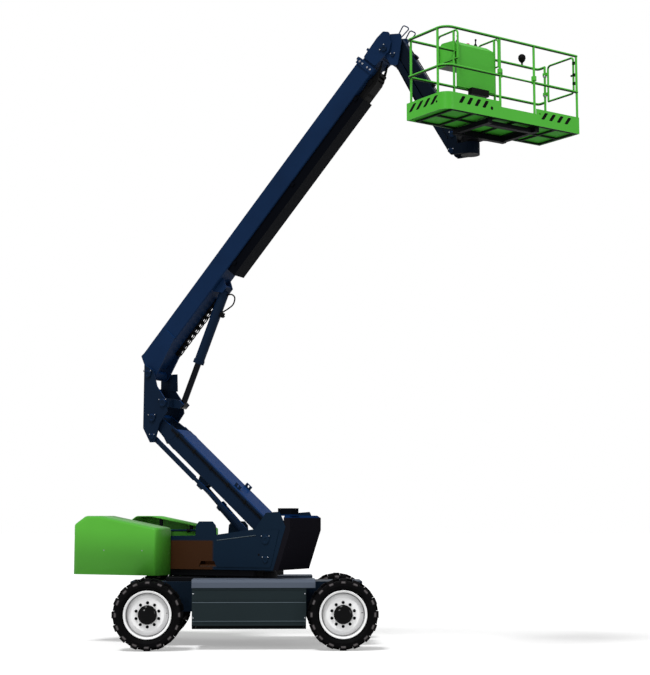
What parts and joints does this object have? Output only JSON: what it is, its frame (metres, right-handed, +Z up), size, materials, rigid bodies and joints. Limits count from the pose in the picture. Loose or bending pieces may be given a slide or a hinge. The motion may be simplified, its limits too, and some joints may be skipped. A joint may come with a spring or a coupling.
{
  "type": "boom lift",
  "caption": "Self-propelled articulated boom lift: slewing turntable, lower boom and upright, telescopic main boom, jib and a railed work platform.",
  "frame": {"origin": "on the ground under the slewing axis, midway between the axles", "axes": "+X towards the drive axle end, which is right in the picture; +Y to the side away from the camera; +Z up"},
  "size_m": [7.1852, 4.9829, 9.0176],
  "materials": {
    "navy_paint": "satin paint",
    "shade_steel": "satin black paint",
    "battery_grey": "satin paint",
    "battery_block": "matt",
    "white_paint": "gloss paint",
    "tyre_rubber": "matt",
    "green_moulding": "gloss gel coat",
    "green_alloy": "gloss paint",
    "black_plastic": "matt",
    "cast_weight": "satin paint",
    "chromed_rod": "polished",
    "navy_alloy": "satin paint"
  },
  "bodies": {
    "chassis": {"chassis_frame": "navy_paint", "battery_boxes": "battery_grey", "battery_packs": "battery_block", "slew_ring": "shade_steel", "steer_axle": "shade_steel", "drive_axle": "shade_steel"},
    "knuckle_right": {"knuckle_right": "shade_steel"},
    "knuckle_left": {"knuckle_left": "shade_steel"},
    "tie_rod": {"tie_rod": "shade_steel"},
    "wheel_fr": {"rim_fr": "white_paint", "tyre_fr": "tyre_rubber"},
    "wheel_fl": {"rim_fl": "white_paint", "tyre_fl": "tyre_rubber"},
    "wheel_rr": {"rim_rr": "white_paint", "tyre_rr": "tyre_rubber"},
    "wheel_rl": {"rim_rl": "white_paint", "tyre_rl": "tyre_rubber"},
    "turntable": {"turntable_frame": "navy_paint", "counterweight": "cast_weight", "front_cover": "black_plastic", "slew_drive": "shade_steel", "power_unit": "shade_steel"},
    "hood_right": {"hood_right": "green_moulding"},
    "hood_left": {"hood_left": "green_moulding"},
    "lower_boom": {"lower_boom": "navy_paint"},
    "level_link": {"level_link": "navy_paint"},
    "lower_lift_barrel": {"lower_lift_barrel": "navy_paint"},
    "lower_lift_rod": {"lower_lift_rod": "chromed_rod"},
    "upright": {"upright": "navy_paint"},
    "main_boom": {"main_boom_outer": "navy_paint", "hose_carrier": "navy_paint", "hose_chain": "black_plastic"},
    "fly_boom": {"main_boom_inner": "navy_paint", "hose_tube": "black_plastic"},
    "main_lift_barrel": {"main_lift_barrel": "navy_paint"},
    "main_lift_rod": {"main_lift_rod": "chromed_rod"},
    "jib_base": {"jib_base": "navy_paint"},
    "jib_arm": {"jib_arm": "navy_paint"},
    "jib_link": {"jib_link": "navy_paint"},
    "jib_lift_barrel": {"jib_lift_barrel": "navy_paint"},
    "jib_lift_rod": {"jib_lift_rod": "chromed_rod"},
    "rotator": {"rotator_bracket": "navy_paint"},
    "platform": {"platform_support": "navy_alloy", "platform_floor": "green_alloy", "toe_boards": "green_alloy", "rail_outer": "green_alloy", "rail_inner": "green_alloy", "control_console": "green_moulding", "socket_box": "black_plastic", "work_lamp": "black_plastic"},
    "gate": {"platform_gate": "green_alloy"},
    "entry_bar": {"entry_bar": "green_alloy"}
  },
  "joints": [
    {"name": "spin_fr", "type": "hinge", "parent": "chassis", "child": "wheel_fr", "pos_m": [1.375, -1.045, 0.5], "axis": [0, 1, 0], "continuous": true},
    {"name": "spin_fl", "type": "hinge", "parent": "chassis", "child": "wheel_fl", "pos_m": [1.375, 1.045, 0.5], "axis": [0, 1, 0], "continuous": true},
    {"name": "steer_right", "type": "hinge", "parent": "chassis", "child": "knuckle_right", "pos_m": [-1.375, -0.905, 0.5], "axis": [0, 0, 1], "range_deg": [-32, 32]},
    {"name": "steer_left", "type": "hinge", "parent": "chassis", "child": "knuckle_left", "pos_m": [-1.375, 0.905, 0.5], "axis": [0, 0, 1], "range_deg": [-33, 33]},
    {"name": "tie_rod_turn", "type": "hinge", "parent": "knuckle_right", "child": "tie_rod", "pos_m": [-1.185, -0.905, 0.43], "axis": [0, 0, 1], "range_deg": [-33, 33]},
    {"name": "spin_rr", "type": "hinge", "parent": "knuckle_right", "child": "wheel_rr", "pos_m": [-1.375, -1.045, 0.5], "axis": [0, 1, 0], "continuous": true},
    {"name": "spin_rl", "type": "hinge", "parent": "knuckle_left", "child": "wheel_rl", "pos_m": [-1.375, 1.045, 0.5], "axis": [0, 1, 0], "continuous": true},
    {"name": "slew", "type": "hinge", "parent": "chassis", "child": "turntable", "pos_m": [0, 0, 1], "axis": [0, 0, 1], "continuous": true},
    {"name": "hood_right_lift", "type": "hinge", "parent": "turntable", "child": "hood_right", "pos_m": [-1.54789, 0.28392, 1.655], "axis": [-0.8829, 0.4695, 0], "range_deg": [0, 60]},
    {"name": "hood_left_lift", "type": "hinge", "parent": "turntable", "child": "hood_left", "pos_m": [-1.10095, 1.12449, 1.655], "axis": [0.8829, -0.4695, 0], "range_deg": [0, 60]},
    {"name": "lower_lift", "type": "hinge", "parent": "turntable", "child": "lower_boom", "pos_m": [0.51211, -0.27229, 1.533], "axis": [0.4695, 0.8829, 0], "range_deg": [-35, 27]},
    {"name": "link_turn", "type": "hinge", "parent": "turntable", "child": "level_link", "pos_m": [0.51211, -0.27229, 1.248], "axis": [0.4695, 0.8829, 0], "range_deg": [-36, 28]},
    {"name": "upright_level", "type": "hinge", "parent": "lower_boom", "child": "upright", "pos_m": [-1.35372, 0.71979, 3.36997], "axis": [0.4695, 0.8829, 0], "range_deg": [-28, 36]},
    {"name": "lower_barrel_turn", "type": "hinge", "parent": "turntable", "child": "lower_lift_barrel", "pos_m": [0.31786, -0.16901, 1.232], "axis": [0.4695, 0.8829, 0], "range_deg": [-35.91, 27.96]},
    {"name": "lower_rod_slide", "type": "slide", "parent": "lower_lift_barrel", "child": "lower_lift_rod", "axis": [-0.6287, 0.3343, 0.7022], "range_m": [-0.2264, 0.1758]},
    {"name": "main_lift", "type": "hinge", "parent": "upright", "child": "main_boom", "pos_m": [-1.43054, 0.76063, 4.04997], "axis": [-0.4695, -0.8829, 0], "range_deg": [-52, 27]},
    {"name": "main_barrel_turn", "type": "hinge", "parent": "main_boom", "child": "main_lift_barrel", "pos_m": [-0.35815, 0.19043, 5.33084], "axis": [-0.4695, -0.8829, 0], "range_deg": [-1.8, 2.4]},
    {"name": "main_rod_slide", "type": "slide", "parent": "main_lift_barrel", "child": "main_lift_rod", "axis": [-0.3427, 0.1822, -0.9216], "range_m": [-0.5942, 0.3109]},
    {"name": "telescope", "type": "slide", "parent": "main_boom", "child": "fly_boom", "axis": [0.5839, -0.3105, 0.7501], "range_m": [0, 3.4]},
    {"name": "jib_level", "type": "hinge", "parent": "fly_boom", "child": "jib_base", "pos_m": [2.06504, -1.098, 8.69177], "axis": [-0.4695, -0.8829, 0], "range_deg": [-28, 53]},
    {"name": "jib_lift", "type": "hinge", "parent": "jib_base", "child": "jib_arm", "pos_m": [2.18954, -1.1642, 8.82977], "axis": [-0.4695, -0.8829, 0], "range_deg": [0, 125]},
    {"name": "jib_link_turn", "type": "hinge", "parent": "jib_base", "child": "jib_link", "pos_m": [2.17188, -1.15481, 8.58977], "axis": [-0.4695, -0.8829, 0], "range_deg": [-1, 126]},
    {"name": "jib_barrel_turn", "type": "hinge", "parent": "jib_base", "child": "jib_lift_barrel", "pos_m": [2.20278, -1.17124, 8.48477], "axis": [-0.4695, -0.8829, 0], "range_deg": [-1.15, 127.09]},
    {"name": "jib_rod_slide", "type": "slide", "parent": "jib_lift_barrel", "child": "jib_lift_rod", "axis": [0.4092, -0.2176, -0.8861], "range_m": [-0.005, 0.6173]},
    {"name": "platform_level", "type": "hinge", "parent": "jib_arm", "child": "rotator", "pos_m": [2.98248, -1.58581, 7.29293], "axis": [-0.4695, -0.8829, 0], "range_deg": [-126, 1]},
    {"name": "platform_rotate", "type": "hinge", "parent": "rotator", "child": "platform", "pos_m": [3.17849, -1.69003, 7.26993], "axis": [0, 0, 1], "range_deg": [-60, 119]},
    {"name": "gate_swing", "type": "hinge", "parent": "platform", "child": "gate", "pos_m": [4.33473, -1.33276, 8.06993], "axis": [0, 0, -1], "range_deg": [0, 90]},
    {"name": "entry_bar_lift", "type": "slide", "parent": "platform", "child": "entry_bar", "axis": [0, 0, 1], "range_m": [0, 0.36]}
  ],
  "couplings": [
    {"joint": "steer_left", "follows": "steer_right", "ratio": 1},
    {"joint": "tie_rod_turn", "follows": "steer_right", "ratio": -1},
    {"joint": "link_turn", "follows": "lower_lift", "ratio": 1},
    {"joint": "upright_level", "follows": "lower_lift", "ratio": -1},
    {"joint": "lower_barrel_turn", "follows": "lower_lift", "ratio": 0.99329},
    {"joint": "lower_rod_slide", "follows": "lower_lift", "m_per_rad": 0.36247},
    {"joint": "main_barrel_turn", "follows": "main_lift", "ratio": -0.024197},
    {"joint": "main_rod_slide", "follows": "main_lift", "m_per_rad": 0.64921},
    {"joint": "jib_level", "follows": "main_lift", "ratio": -1},
    {"joint": "jib_link_turn", "follows": "jib_lift", "ratio": 1},
    {"joint": "jib_barrel_turn", "follows": "jib_lift", "ratio": 1.0075},
    {"joint": "jib_rod_slide", "follows": "jib_lift", "m_per_rad": 0.28066},
    {"joint": "platform_level", "follows": "jib_lift", "ratio": -1}
  ]
}
